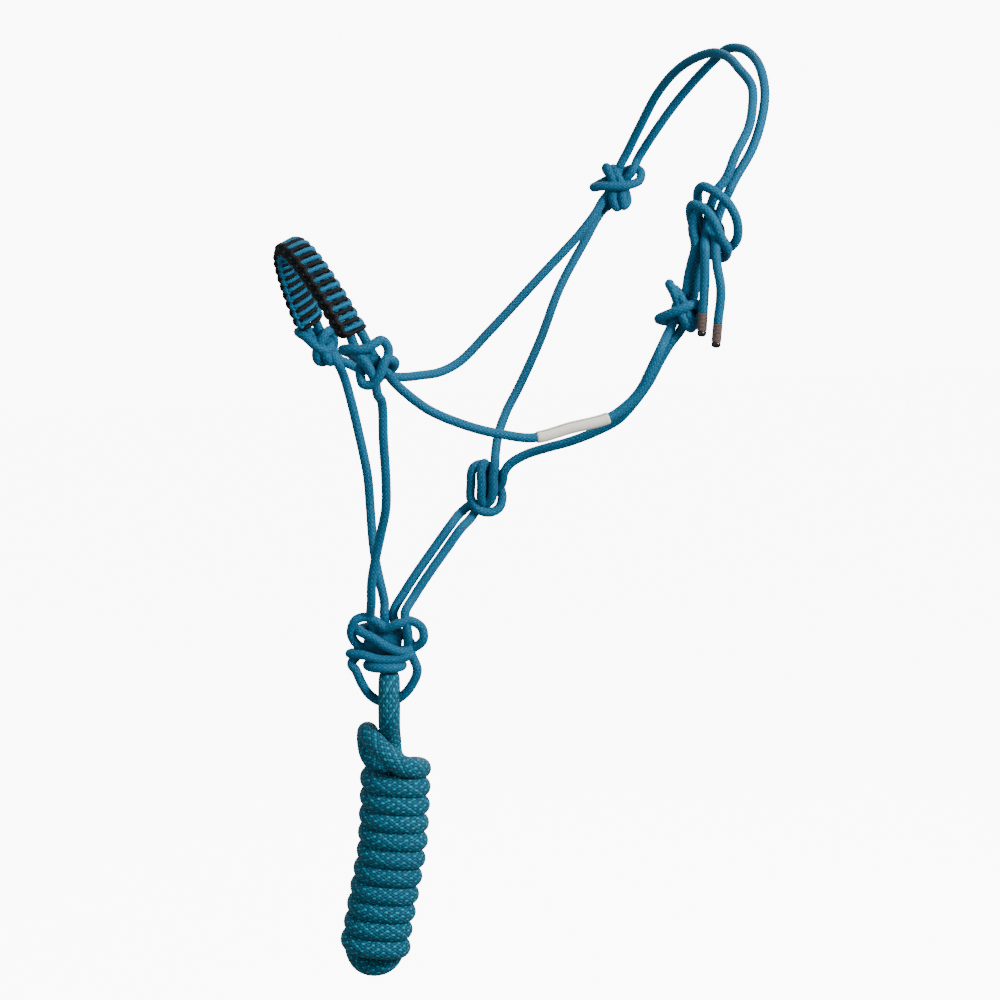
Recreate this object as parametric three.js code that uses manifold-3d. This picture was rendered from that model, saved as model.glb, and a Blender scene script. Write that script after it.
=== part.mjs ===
// Knotted rope halter with a lead rope wound into a hank, millimetres, +Z up.
// The origin is the poll, where the crown strands rest on the head. The nose points to -X
// and the animal's left side is -Y. One rope makes the whole halter, so its centreline is
// one curve that is walked from tail to tail and cut into the strands between the knots.
import * as THREE from 'three';
import { mergeVertices } from 'three/addons/utils/BufferGeometryUtils.js';
import Module from 'manifold-3d';

const wasm = await Module();
wasm.setup();

// Driving dimensions: rope and cord
const ropeD = 6.35;             // halter rope diameter
const leadD = 14;               // lead rope diameter
const cordD = 2.8;              // cord woven over the noseband
const gap = 0.3;                // between two pieces that touch
const cutGap = 0.7;             // where a strand meets its knot
const weaveClear = 0.6;         // between the noseband ropes and their woven cover

// Driving dimensions: places of the knots on the head
const cheekHalf = 80;           // right cheek knot and left tie, from the mid-plane
const noseHalf = 37;            // nose knots, from the mid-plane
const noseReach = 285;          // nose knots ahead of the poll
const noseDrop = 193;           // nose knots below the poll
const throatReach = 185;
const throatDrop = 286;
const chinReach = 258;
const chinDrop = 392;
const crownHang = 91;           // right cheek knot below the poll
const crownLean = 49;           // right cheek knot ahead of the poll
const tieSag = 12;              // tie below the right cheek knot
const latchHang = 59;           // left cheek knot below the tie
const latchLean = 19;           // left cheek knot ahead of the tie
const knotInset = 8;            // left cheek knot, inward of the tie

const linkSpread = 1.4;         // between the two link strands, past touching
const linkTwist = 25;           // degrees that the pair is turned about its run

// Driving dimensions: noseband
const archRise = 53.7;          // along the noseband's own slope
const archLean = 26.57;         // degrees that the arch leans towards the muzzle
const archPower = 1.6;          // 1 is an ellipse, more is a narrower top
const archBase = [-14, 23];     // foot of the arch from the nose knots, along X and Z
const weaveInset = 0.005;       // share of the arch left bare at each foot

// Driving dimensions: label, tails and their tips
const labelWall = 0.45;
const labelClear = 0.9;        // around the strand that the label slides on
const tipSleeveLength = 12;
const tipCoreD = 4.6;
const tipEndD = 5.8;
const tipEndLength = 3.5;
const tailSwing = 45;           // degrees that each tail lifts away from the head

// Driving dimensions: lead
const eyeSlack = 0.8;           // between a leg of the lead's eye and the chin loop
const eyeRise = 4.6;
const eyeSpread = 8;            // straight part of each eye leg below the loop
const standingTop = 14;         // start of the single rope below the loop
const standingDrop = 30;        // end of the single rope below the loop
const swayLimit = 8;            // degrees that the hank sways each way
const hankDepth = 42;
const bightRadius = 7.5;        // centreline of the bight over the hank's top
const bightAside = -15;         // sideways place of that bight
const bightFoot = -45;          // foot of that bight, from the loop
const bightLeg = 16;
const knotFacing = 24;          // degrees that the knots' faces turn towards the nose

// How finely tubes are cut
const strandSides = 8;
const knotSides = 6;
const leadSides = 12;
const strandStep = 14;
const knotStep = 8;
const leadStep = 9;
const archStep = 6;
const ringSides = 16;
const finest = 0.15;            // smallest feature kept where pieces are joined

const ropeR = ropeD / 2;
const leadR = leadD / 2;
const radians = THREE.MathUtils.degToRad;
const tailClear = ropeR * Math.sin(radians(tailSwing)) + gap;
const vec = (x, y, z) => new THREE.Vector3(x, y, z);

// A knot is laid out on its own face: u across it, v up, w out of it
const acrossFace = vec(Math.cos(radians(knotFacing)), -Math.sin(radians(knotFacing)), 0);
const upFace = vec(0, 0, 1);
const outOfFace = vec(-Math.sin(radians(knotFacing)), -Math.cos(radians(knotFacing)), 0);

const rightCheek = vec(-crownLean, cheekHalf, -crownHang);
const tie = vec(-crownLean - 10, -cheekHalf, -crownHang - tieSag);
const leftCheek = tie.clone().add(vec(-latchLean, knotInset, -latchHang));
const rightNose = vec(-noseReach, noseHalf, -noseDrop);
const leftNose = vec(-noseReach, -noseHalf, -noseDrop);
const throat = vec(-throatReach, 0, -throatDrop);
const chin = vec(-chinReach, 0, -chinDrop);

// Points on a knot's face, from the knot's middle
function near(middle, rows) {
  return rows.map(([u, v, w]) => middle.clone()
    .addScaledVector(acrossFace, u)
    .addScaledVector(upFace, v)
    .addScaledVector(outOfFace, w));
}

// Points of a strand between two knots: the share of the way, then how far it bows
function between(from, to, rows) {
  return rows.map(([share, x, y, z]) => from.clone().lerp(to, share).add(vec(x, y, z)));
}

function polygon(radius, sides) {
  const points = [];
  for (let i = 0; i < sides; i += 1) {
    const angle = 2 * Math.PI * i / sides;
    points.push(new THREE.Vector2(radius * Math.cos(angle), radius * Math.sin(angle)));
  }
  return points;
}

// Part of a curve, from one parameter to another
class Stretch extends THREE.Curve {
  constructor(path, from, to) {
    super();
    this.path = path;
    this.from = from;
    this.to = to;
  }

  getPoint(t, target = vec(0, 0, 0)) {
    return this.path.getPoint(this.from + (this.to - this.from) * t, target);
  }
}

function trimmed(path, from, to, before, after = before) {
  const step = 1e-4;
  const speed = (t) => path.getPoint(t + step).distanceTo(path.getPoint(t)) / step;
  return new Stretch(path, from + before / speed(from), to - after / speed(to - step));
}

function tube(path, radius, sides, step, hole = 0) {
  const shape = new THREE.Shape(polygon(radius, sides));
  if (hole > 0) shape.holes.push(new THREE.Path(polygon(hole, sides)));
  const steps = Math.max(2, Math.round(path.getLength() / step));
  return new THREE.ExtrudeGeometry(shape, { extrudePath: path, steps });
}

function solid(geometry) {
  const bare = geometry.clone();
  bare.deleteAttribute('normal');
  bare.deleteAttribute('uv');
  const merged = mergeVertices(bare, 1e-4);
  const vertProperties = new Float32Array(merged.attributes.position.array);
  const triVerts = new Uint32Array(merged.index.array);
  return new wasm.Manifold(new wasm.Mesh({ numProp: 3, vertProperties, triVerts }));
}

// One body from pieces that overlap, with the hollows sealed inside it filled
function joined(geometries) {
  const union = geometries.map(solid).reduce((a, b) => a.add(b)).simplify(finest);
  const shells = union.decompose().filter((shell) => shell.volume() > 0);
  const whole = shells.reduce((a, b) => a.add(b));
  const { vertProperties, triVerts } = whole.getMesh();
  const geometry = new THREE.BufferGeometry();
  geometry.setAttribute('position', new THREE.BufferAttribute(vertProperties, 3));
  geometry.setIndex(new THREE.BufferAttribute(triVerts, 1));
  geometry.computeVertexNormals();
  return geometry;
}

const finishes = {
  rope: [0x00698c, 0.75],
  lead: [0x00738a, 0.8],
  weaveTeal: [0x0578a0, 0.7],
  weaveBlack: [0x0d0a0c, 0.8],
  label: [0xe6e4d4, 0.5],
  sleeve: [0x6e5550, 0.6],
  melted: [0x101010, 0.35],
};

const halter = new THREE.Group();

function addPiece(name, geometry, finish) {
  const [color, roughness] = finishes[finish];
  const mesh = new THREE.Mesh(geometry, new THREE.MeshStandardMaterial({ color, roughness, metalness: 0 }));
  mesh.name = name;
  halter.add(mesh);
  return mesh;
}

// Noseband arch: a leaning plane curve over the nose, from the right knot to the left
const archUp = vec(-Math.sin(radians(archLean)), 0, Math.cos(radians(archLean)));
const archWide = vec(Math.cos(radians(archLean)), 0, Math.sin(radians(archLean)));
const archFoot = vec(-noseReach + archBase[0], 0, -noseDrop + archBase[1]);

function archPoints(aside) {
  const points = [];
  const count = 12;
  for (let i = 0; i <= count; i += 1) {
    const angle = Math.PI * (0.5 - i / count);
    const rise = archRise * Math.abs(Math.cos(angle)) ** archPower;
    points.push(archFoot.clone()
      .addScaledVector(archUp, rise)
      .addScaledVector(archWide, aside)
      .add(vec(0, noseHalf * Math.sin(angle), 0)));
  }
  return points;
}

// The curve under the weave, with frames that keep the section square to the arch's plane
class ArchPath extends Stretch {
  computeFrenetFrames(segments) {
    const tangents = [];
    const normals = [];
    const binormals = [];
    for (let i = 0; i <= segments; i += 1) {
      const tangent = this.getTangentAt(i / segments);
      tangents.push(tangent);
      normals.push(archWide.clone());
      binormals.push(tangent.clone().cross(archWide).normalize());
    }
    return { tangents, normals, binormals };
  }
}

// The whole halter rope, from the front tail's end to the rear tail's end
const coreAside = (ropeD + gap) / 2;
const linkRun = chin.clone().sub(throat).normalize();
const linkAside = acrossFace.clone().projectOnPlane(linkRun).normalize()
  .applyAxisAngle(linkRun, radians(linkTwist)).multiplyScalar(coreAside + linkSpread / 2);
const linkLine = between(throat, chin, [[0.26, -4, 0, 2], [0.4, -5, 0, 3], [0.55, -6, 0, 4], [0.7, -6, 0, 5]]);
const linkRear = linkLine.map((point) => point.clone().add(linkAside));
const linkFront = linkLine.map((point) => point.clone().sub(linkAside)).reverse();

const walk = [
  ['tail_front', near(tie, [[-6, -63, 9], [-5.5, -53, 9], [-5, -42, 9], [-5, -31, 9]])],
  ['sheet_bend', near(tie, [[-5, -23, 8], [-5, -17, 4], [-3, -9, -3], [-2, -1, -7], [0, 8, -6], [3, 16, -3]])],
  ['crown_strand_front', between(tie, rightCheek, [[0.02, 10, -3, 24], [0.03, 17, -4, 39],
    [0.08, 29, -6, 55], [0.14, 36, -7, 68], [0.22, 41, -8, 81], [0.35, 40, -10, 91],
    [0.47, 41, -10, 97], [0.57, 38, -10, 99], [0.68, 32, -9, 94], [0.79, 26, -8, 84],
    [0.88, 19, -7, 68], [0.96, 11, -5, 42], [0.99, 5, -1, 23]])],
  ['right_cheek_knot', near(rightCheek, [[1, 14, 0], [-1, 6, -2], [-5, -2, -2], [-11, -10, 0]])],
  ['right_cheek_strand', between(rightCheek, rightNose, [[0.09, 2, 1, -9], [0.15, 4, 2, -16],
    [0.31, 10, 7, -29], [0.52, 18, 8, -43], [0.64, 21, 8, -51], [0.71, 21, 7, -50],
    [0.77, 19, 5, -45], [0.83, 16, 4, -39], [0.89, 13, 3, -29], [0.93, 8, 2, -21]])],
  ['right_nose_knot', near(rightNose, [[14, -10, -6], [7, -6, -3], [3, 0, -4], [0, 5, -3], [-4, 11, -2],
    [-7, 18, 1]])],
  ['noseband_core_rear', archPoints(coreAside)],
  ['left_nose_knot', near(leftNose, [[-4, 18, 3], [0, 10, 1], [4, 2, -2], [8, -4, -3], [12, -8, -1]])],
  ['left_cheek_strand', between(leftNose, leftCheek, [[0.07, 2, 1, -16], [0.09, 4, 0, -23],
    [0.17, 5, 0, -39], [0.28, 9, -1, -54], [0.37, 10, -2, -62], [0.47, 10, -4, -68],
    [0.59, 10, -4, -66], [0.72, 9, -4, -64], [0.78, 8, -5, -58], [0.83, 6, -6, -50],
    [0.87, 4, -9, -36], [0.91, 2, -9, -24]])],
  ['left_cheek_knot', near(leftCheek, [[-8, -19, -1], [-3, -9, -3], [1, 2, -3], [4, 10, 0]])],
  ['latch_loop_front_leg', near(leftCheek, [[5, 17, 0], [7, 27, 0]])],
  ['sheet_bend', near(tie, [[-11, -20, 1], [-13, -8, 2], [-10, 2, 2], [-4, 5, 0], [1, -1, -3],
    [-1, -14, -6], [-5, -24, -7]])],
  ['latch_loop_rear_leg', near(leftCheek, [[13, 27, -7], [11, 16, -6]])],
  ['left_cheek_knot', near(leftCheek, [[9, 5, -4], [7, -2, -5], [4, -10, -6], [1, -17, -7]])],
  ['left_throat_strand', between(leftCheek, throat, [[0.12, 8, -4, -11], [0.19, 10, -6, -13],
    [0.28, 14, -8, -16], [0.37, 16, -8, -19], [0.46, 18, -6, -20], [0.55, 17, -3, -17],
    [0.66, 14, 0, -11], [0.75, 9, 3, -5], [0.82, 5, 5, -1]])],
  ['throat_knot', near(throat, [[15, 15, -2], [11, 9, -1], [10, 3, -2], [6, -3, -4], [0, -9, -5], [-6, -14, -3],
    [-11, -21, 1]])],
  ['link_strand_rear', linkRear],
  ['chin_knot', near(chin, [[12, 26, 3], [13, 19, 4], [14, 10, 3], [14, 1, -1], [17, -5, 0]])],
  ['chin_loop', near(chin, [[20, -13, 2], [17, -22, 1], [11, -30, 0], [3, -35, -1], [-5, -35, -1],
    [-12, -30, 1], [-17, -22, 3]])],
  ['chin_knot', near(chin, [[-21, -13, 3], [-24, -9, 1], [-20, -4, -2], [-12, 4, -3], [-9, 14, 0],
    [-11, 23, 2]])],
  ['left_chin_strand', between(chin, leftNose, [[0.17, -8, 3, 0], [0.25, -7, 2, -1], [0.34, -3, 1, -1],
    [0.42, 1, -1, 0], [0.5, 4, -4, 0], [0.6, 5, -5, 0], [0.73, 5, -5, 1], [0.86, 6, -4, 0]])],
  ['left_nose_knot', near(leftNose, [[6, -22, 1], [4, -11, 2], [-1, -3, 3], [-6, 3, 3], [-9, 10, 2],
    [-12, 18, 4]])],
  ['noseband_core_front', archPoints(-coreAside).reverse()],
  ['right_nose_knot', near(rightNose, [[-14, 18, 4], [-12, 11, 1], [-6, 5, -1], [1, -2, -1], [7, -9, 1]])],
  ['right_chin_strand', between(rightNose, chin, [[0.09, 9, 3, 0], [0.17, 11, 5, 1], [0.29, 13, 7, 0],
    [0.43, 13, 7, 1], [0.54, 10, 6, 0], [0.64, 7, 5, 0], [0.72, 5, 2, 0], [0.79, 4, -1, 1],
    [0.84, 4, -2, 0]])],
  ['chin_knot', near(chin, [[-2, 24, -1], [-1, 15, -4], [2, 10, -5], [5, 15, -5], [4, 25, -5]])],
  ['link_strand_front', linkFront],
  ['throat_knot', near(throat, [[-18, -18, -3], [-10, -12, -3], [-4, -12, 0], [2, -9, 3], [4, -1, 5], [4, 7, 4],
    [5, 14, 2]])],
  ['right_throat_strand', between(throat, rightCheek, [[0.09, -4, -2, 4], [0.15, -7, 0, 4],
    [0.23, -7, 5, 2], [0.33, -5, 9, -1], [0.48, -3, 12, -1], [0.65, -4, 14, 0], [0.82, -1, 16, -3]])],
  ['right_cheek_knot', near(rightCheek, [[-11, -17, -6], [-5, -12, -7], [-2, -4, -5], [4, 4, -3],
    [10, 11, -1]])],
  ['crown_strand_rear', between(rightCheek, tie, [[-0.01, 15, -3, 20], [0.04, 24, -5, 40],
    [0.1, 34, -7, 60], [0.17, 42, -9, 76], [0.22, 46, -9, 84], [0.27, 50, -10, 92],
    [0.38, 52, -10, 101], [0.47, 56, -11, 102], [0.58, 57, -11, 97], [0.7, 54, -10, 88],
    [0.8, 49, -9, 75], [0.88, 42, -6, 60], [0.94, 31, -5, 42], [0.98, 17, -2, 23]])],
  ['sheet_bend', near(tie, [[11, 15, -5], [7, 6, -8], [4, -3, -8], [1, -12, -3], [2, -19, 5],
    [2, -25, 9]])],
  ['tail_rear', near(tie, [[3, -34, 11], [5, -45, 13], [5, -56, 13], [4, -64, 13], [3.5, -70, 13]])],
];

// The turns that lie around the strands in each knot, as rings on the knot's face
const turns = {
  right_cheek_knot: [rightCheek, [
    [[-7, 5, -8], [-15, 1, -4], [-17, 0, 1], [-11, 1, 5], [0, 1, 7], [8, 2, 6], [15, 5, 3], [16, 11, -1],
      [11, 13, -5], [3, 10, -8]],
    [[-3, 5, -9], [-8, 12, -5], [-8, 14, 1], [-5, 8, 3], [-2, 0, 2], [-4, -7, 3], [-1, -14, 1],
      [2, -11, -5], [1, -4, -9]],
  ]],
  left_cheek_knot: [leftCheek, [
    [[4, -9, -9], [-7, -11, -6], [-14, -9, 0], [-9, -6, 4], [0, -2, 7], [8, 1, 5], [13, 0, 0],
      [12, -4, -5]],
    [[-1, 5, -9], [-6, 12, -5], [-7, 14, 1], [-4, 8, 3], [-1, 0, 2], [2, -8, 4], [7, -15, 1],
      [10, -11, -5], [7, -4, -9]],
  ]],
  left_nose_knot: [leftNose, [
    [[-3, -2, -7], [-12, 4, -4], [-16, 7, 3], [-10, 8, 7], [-2, 8, 7], [4, 11, 5], [9, 13, 2],
      [13, 8, 1], [12, 0, 2], [6, -5, -4]],
    [[0, -6, -7], [-5, -5, -3], [-5, -9, 2], [-3, -15, 4], [3, -15, 5], [8, -8, 6], [12, 1, 4],
      [17, -1, 0], [16, -5, -4], [9, -8, -7]],
  ]],
  right_nose_knot: [rightNose, [
    [[-9, 11, -7], [-17, 12, -4], [-19, 12, 1], [-14, 9, 4], [-7, 3, 6], [-1, 0, 4], [2, 3, 0],
      [0, 8, -5]],
    [[3, -1, -7], [-2, -8, -4], [-6, -7, 1], [-7, -2, 4], [-4, 6, 5], [-1, 11, 4], [2, 13, 0],
      [4, 7, -4]],
  ]],
  throat_knot: [throat, [
    [[6, 9, -5], [0, 14, -3], [-6, 15, -1], [-10, 12, 1], [-11, 2, 2], [-11, -8, 2], [-6, -15, 3],
      [2, -17, 2], [8, -14, 0], [10, -7, -2], [8, 1, -5]],
    [[0, 0, -8], [-1, 11, -6], [-2, 16, -1], [-4, 12, 4], [-4, 1, 6], [-4, -8, 4], [-1, -13, -1],
      [0, -10, -6]],
  ]],
  chin_knot: [chin, [
    [[-2, -1, -5], [-13, 1, -3], [-20, 4, 0], [-24, 12, 2], [-21, 21, 3], [-14, 23, 2], [-7, 20, 3],
      [-1, 16, 4], [7, 19, 6], [15, 21, 4], [23, 16, 3], [24, 8, 3], [18, 2, 0], [8, -1, -4]],
    [[-2, 14, -7], [-14, 15, -4], [-19, 14, 3], [-10, 10, 6], [1, 3, 6], [10, 0, 4], [16, 3, -1],
      [10, 10, -6]],
    [[-2, -3, -7], [-17, -2, -5], [-25, -2, 1], [-17, -2, 5], [-5, -5, 6], [7, -5, 5], [16, -2, 2],
      [12, -1, -4]],
    [[-2, -9.5, -8], [-10, -9.5, -6], [-13.5, -10, 0], [-10, -10.5, 6], [-2, -10.5, 9.2], [6, -10.5, 7],
      [10, -10, 1], [7, -9.5, -6]],
  ]],
  sheet_bend: [tie, [
    [[-7, -7, -11], [-9, 8, -9], [-9, 16, -4], [-6, 19, 2], [2, 15, 6], [10, 8, 7], [16, -4, 5],
      [16, -16, 1], [10, -22, -5], [1, -19, -10]],
    [[-9, -14, -11], [-14, 1, -6], [-13, 7, 1], [-5, 4, 7], [1, -4, 9], [5, -13, 8], [10, -22, 3],
      [8, -28, -5], [0, -26, -10]],
  ]],
};

// The packed heart of each knot: a middle on the knot's face and half sizes
const hearts = {
  right_cheek_knot: [rightCheek, [-1, 2, -1], [8, 8, 5]],
  left_cheek_knot: [leftCheek, [1, -2, -2], [8, 8, 5]],
  left_nose_knot: [leftNose, [1, -1, -1], [9, 8, 5]],
  right_nose_knot: [rightNose, [-3, 4, -1], [9, 8, 5]],
  throat_knot: [throat, [0, 0, -2], [8, 11, 5]],
  chin_knot: [chin, [-3, 6, -1], [16, 12, 6]],
  sheet_bend: [tie, [2, -12, -3], [8, 11, 5]],
};

const ropeCurve = new THREE.CatmullRomCurve3(walk.flatMap(([, points]) => points), false, 'centripetal');
const ropeSpans = ropeCurve.points.length - 1;

function heart([middle, place, half]) {
  const geometry = new THREE.SphereGeometry(1, 8, 6);
  const turn = new THREE.Matrix4().makeBasis(acrossFace, upFace, outOfFace);
  geometry.applyMatrix4(new THREE.Matrix4().makeScale(...half)).applyMatrix4(turn);
  const [centre] = near(middle, [place]);
  return geometry.translate(centre.x, centre.y, centre.z);
}

function ring(middle, rows) {
  const path = new THREE.CatmullRomCurve3(near(middle, rows), true, 'centripetal');
  return tube(trimmed(path, 0, 1, cutGap / 2), ropeR, knotSides, knotStep);
}

// Strands are pieces of their own, and the stretches inside a knot are joined to its turns
function buildRope() {
  const knots = {};
  let first = 0;
  walk.forEach(([name, points], index) => {
    const last = index === walk.length - 1 ? ropeSpans : first + points.length;
    const before = name === 'tail_rear' ? tailClear : cutGap / 2;
    const after = name === 'tail_front' ? tailClear : cutGap / 2;
    const path = trimmed(ropeCurve, first / ropeSpans, last / ropeSpans, before, after);
    first += points.length;
    if (turns[name]) {
      knots[name] ??= [];
      knots[name].push(tube(path, ropeR, knotSides, knotStep));
    } else {
      const step = name.startsWith('noseband') ? archStep : strandStep;
      addPiece(name, tube(path, ropeR, strandSides, step), 'rope');
    }
  });
  for (const [name, [middle, rings]] of Object.entries(turns)) {
    const pieces = [heart(hearts[name]), ...knots[name], ...rings.map((rows) => ring(middle, rows))];
    addPiece(name, joined(pieces), 'rope');
  }
}

function firstIndex(name) {
  let count = 0;
  for (const [each, points] of walk) {
    if (each === name) return count;
    count += points.length;
  }
  return count;
}

// Woven cover in two halves that meet along the noseband's edges
function buildWeave() {
  const arch = new THREE.CatmullRomCurve3(archPoints(0), false, 'centripetal');
  const path = new ArchPath(arch, weaveInset, 1 - weaveInset);
  const innerHalf = ropeD + gap / 2 + weaveClear;
  const outerHalf = innerHalf + cordD;
  const innerTop = ropeR + weaveClear;
  const outerTop = innerTop + cordD;
  const corner = cordD * 0.8;
  const outline = [
    [-outerHalf, gap / 2], [-innerHalf, gap / 2], [-innerHalf, innerTop], [innerHalf, innerTop],
    [innerHalf, gap / 2], [outerHalf, gap / 2], [outerHalf, outerTop - corner],
    [outerHalf - corner, outerTop], [-outerHalf + corner, outerTop], [-outerHalf, outerTop - corner],
  ];
  const steps = Math.round(path.getLength() / archStep);
  for (const [name, side, finish] of [['noseband_weave_outer', 1, 'weaveTeal'],
    ['noseband_weave_inner', -1, 'weaveBlack']]) {
    const shape = new THREE.Shape(outline.map(([x, y]) => new THREE.Vector2(x, side * y)));
    addPiece(name, new THREE.ExtrudeGeometry(shape, { extrudePath: path, steps }), finish);
  }
}

// Blank label sleeve around the left cheek strand
function buildLabel() {
  const start = firstIndex('left_cheek_strand') + 5;
  const path = new Stretch(ropeCurve, (start + 0.1) / ropeSpans, (start + 2) / ropeSpans);
  const hole = (ropeR + labelClear) / Math.cos(Math.PI / ringSides);
  addPiece('label_sleeve', tube(path, hole + labelWall, ringSides, strandStep / 2, hole), 'label');
}

// Shrunk sleeve and melted end on each tail
function buildTip(name, end, direction) {
  const turn = new THREE.Quaternion().setFromUnitVectors(vec(0, 1, 0), direction);
  const place = (geometry) => geometry.applyQuaternion(turn).translate(end.x, end.y, end.z);
  const coreR = tipCoreD / 2;
  const bore = (coreR + gap) / Math.cos(Math.PI / ringSides);
  const sleeve = [[bore, gap], [ropeR, gap], [ropeR, tipSleeveLength], [bore, tipSleeveLength], [bore, gap]];
  const lip = tipSleeveLength + gap;
  const tip = lip + tipEndLength;
  const core = [[0, gap], [coreR, gap], [coreR, lip], [tipEndD / 2, lip], [tipEndD / 2, tip - 1],
    [tipEndD / 2 - 1, tip], [0, tip]];
  const lathe = (profile) => new THREE.LatheGeometry(
    profile.map(([r, h]) => new THREE.Vector2(r, h)), ringSides);
  addPiece(`${name}_sleeve`, place(lathe(sleeve)), 'sleeve');
  addPiece(`${name}_melted_end`, place(lathe(core)), 'melted');
}

function buildTips() {
  buildTip('tail_front', ropeCurve.getPoint(0), ropeCurve.getTangent(0).negate());
  buildTip('tail_rear', ropeCurve.getPoint(1), ropeCurve.getTangent(1));
}

// Lead: an eye around the chin loop, the single rope below it, and the wound hank
const loopBottom = near(chin, [[1, -35, -1]])[0];

function buildLead() {
  const leg = ropeR + leadR + eyeSlack;
  const eyeRows = [[1, -standingDrop + 8, leadR / 3], [0, -eyeSpread - 6, leg * 0.75], [0, -eyeSpread, leg]];
  for (let angle = 0; angle <= 180; angle += 30) {
    eyeRows.push([0, eyeRise + leg * Math.sin(radians(angle)), leg * Math.cos(radians(angle))]);
  }
  eyeRows.push([0, -eyeSpread, -leg], [0, -eyeSpread - 6, -leg * 0.75], [1, -standingDrop + 8, -leadR / 3]);
  const eye = new THREE.CatmullRomCurve3(near(loopBottom, eyeRows), false, 'centripetal');
  const standing = new THREE.LineCurve3(...near(loopBottom, [[1, -standingTop, 0], [1, -standingDrop, 0]]));
  addPiece('lead_eye', joined([tube(eye, leadR, leadSides, leadStep), tube(standing, leadR, leadSides, leadStep)]),
    'lead');

  const flexGap = leadR * Math.sin(radians(swayLimit)) + gap;
  const top = -standingDrop - flexGap;
  const shape = new THREE.Shape();
  shape.moveTo(-17, bightFoot);
  shape.lineTo(bightAside + leadR + gap, bightFoot);
  shape.lineTo(bightAside + leadR + gap, top);
  shape.lineTo(9, top);
  shape.splineThru([[18, -36], [25, -44], [26.5, -62], [26.5, -84], [24.5, -106], [19, -137], [14, -160],
    [7, -180], [-4, -187], [-16, -187], [-27, -180], [-31, -164], [-27, -133], [-21, -100], [-19, -66],
    [-17, bightFoot]].map(([x, y]) => new THREE.Vector2(x, y)));
  const bevel = hankDepth / 5;
  const hank = new THREE.ExtrudeGeometry(shape, {
    depth: hankDepth - 2 * bevel, bevelThickness: bevel, bevelSize: bevel / 2, bevelOffset: -bevel / 2,
    bevelSegments: 2, curveSegments: 2, steps: 1,
  });
  hank.translate(0, 0, bevel - hankDepth / 2);
  const basis = new THREE.Matrix4().makeBasis(acrossFace, upFace, outOfFace).setPosition(loopBottom);
  addPiece('lead_hank', hank.applyMatrix4(basis), 'lead');

  const bightRows = [[bightAside, bightFoot + gap, bightRadius], [bightAside, bightFoot + bightLeg / 2, bightRadius]];
  for (let angle = 0; angle <= 180; angle += 30) {
    bightRows.push([bightAside, bightFoot + bightLeg + bightRadius * Math.sin(radians(angle)),
      bightRadius * Math.cos(radians(angle))]);
  }
  bightRows.push([bightAside, bightFoot + bightLeg / 2, -bightRadius], [bightAside, bightFoot + gap, -bightRadius]);
  const bight = new THREE.CatmullRomCurve3(near(loopBottom, bightRows), false, 'centripetal');
  addPiece('lead_top_bight', tube(bight, leadR, leadSides, leadStep), 'lead');
}

buildRope();
buildWeave();
buildLabel();
buildTips();
buildLead();

export default halter;
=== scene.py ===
# Knotted rope halter with its lead rope wound in a hank, in metres, +Z up.
# The halter rope's centreline is one route, cut into strands and knots. The turns that wrap a
# knot are closed rings around that route.
import math

import bpy
import numpy as np
from mathutils import Matrix, Vector


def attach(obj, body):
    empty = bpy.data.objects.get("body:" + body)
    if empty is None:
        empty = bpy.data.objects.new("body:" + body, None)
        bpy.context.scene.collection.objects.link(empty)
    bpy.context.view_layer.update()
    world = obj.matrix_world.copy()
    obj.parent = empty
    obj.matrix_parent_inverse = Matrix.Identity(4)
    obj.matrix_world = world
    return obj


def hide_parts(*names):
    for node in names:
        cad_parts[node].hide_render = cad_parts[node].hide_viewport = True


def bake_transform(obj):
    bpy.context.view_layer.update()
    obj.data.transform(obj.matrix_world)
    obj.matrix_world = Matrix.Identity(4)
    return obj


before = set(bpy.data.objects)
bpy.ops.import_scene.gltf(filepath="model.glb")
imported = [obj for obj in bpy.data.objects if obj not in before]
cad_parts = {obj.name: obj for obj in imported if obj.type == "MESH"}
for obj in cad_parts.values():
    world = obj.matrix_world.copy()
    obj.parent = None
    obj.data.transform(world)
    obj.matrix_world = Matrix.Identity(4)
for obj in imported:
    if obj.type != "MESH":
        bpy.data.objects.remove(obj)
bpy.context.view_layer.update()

# Sizes, as in the CAD
MM = 0.001                      # the routes below are listed in millimetres
ROPE_D = 0.00635
LEAD_D = 0.014
CORD_D = 0.0028
GAP = 0.0003                    # between the noseband's two ropes
WEAVE_CLEAR = 0.0006            # between those ropes and the CAD's woven cover
KNOT_FACING = math.radians(24)  # how far the knots' faces turn from -Y towards -X

# The braid's cells: how many around, how long each is, and how deep the grooves are
ROPE_BRAID = (8, 0.0030, 0.045)
LEAD_BRAID = (18, 0.0029, 0.045)
CORD_BRAID = (6, 0.0018, 0.0)
CELL_MIDDLE = 0.62              # the braid height that lies on the rope's own radius

# The rope meshes: corners around, and metres from one ring to the next
ROPE_SIDES, ROPE_STEP = 24, 0.0008
LEAD_SIDES, LEAD_STEP = 72, 0.0008
CORD_SIDES, CORD_STEP = 10, 0.0007

# The camera, at the photograph's angle
CAMERA_PLACE = (-0.96958, -1.78305, -0.00383)
CAMERA_FORWARD = (0.40227, 0.90351, -0.14781)
CAMERA_LENS = 105.4
SENSOR_WIDTH = 36

FLOOR_Z = -0.95
WORLD_LIGHT = 0.26              # what the backdrop lends the object
BACKDROP_LIGHT = 10.0           # how bright the backdrop itself shows
FLOOR_GLOW = 9.6
FLOOR_REACH = 6.0
LIT_MIDDLE = (-0.16, 0, -0.28)
LIGHTS = [                      # name, place, size and watts
    ("key", (0.75, -1.5, 0.7), 0.6, 56),
    ("fill", (-1.9, -0.9, 0.2), 1.2, 8),
    ("top", (-0.2, 0.3, 1.7), 1.4, 12),
    ("back", (0.9, 1.6, 0.6), 1.2, 14),
]


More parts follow.
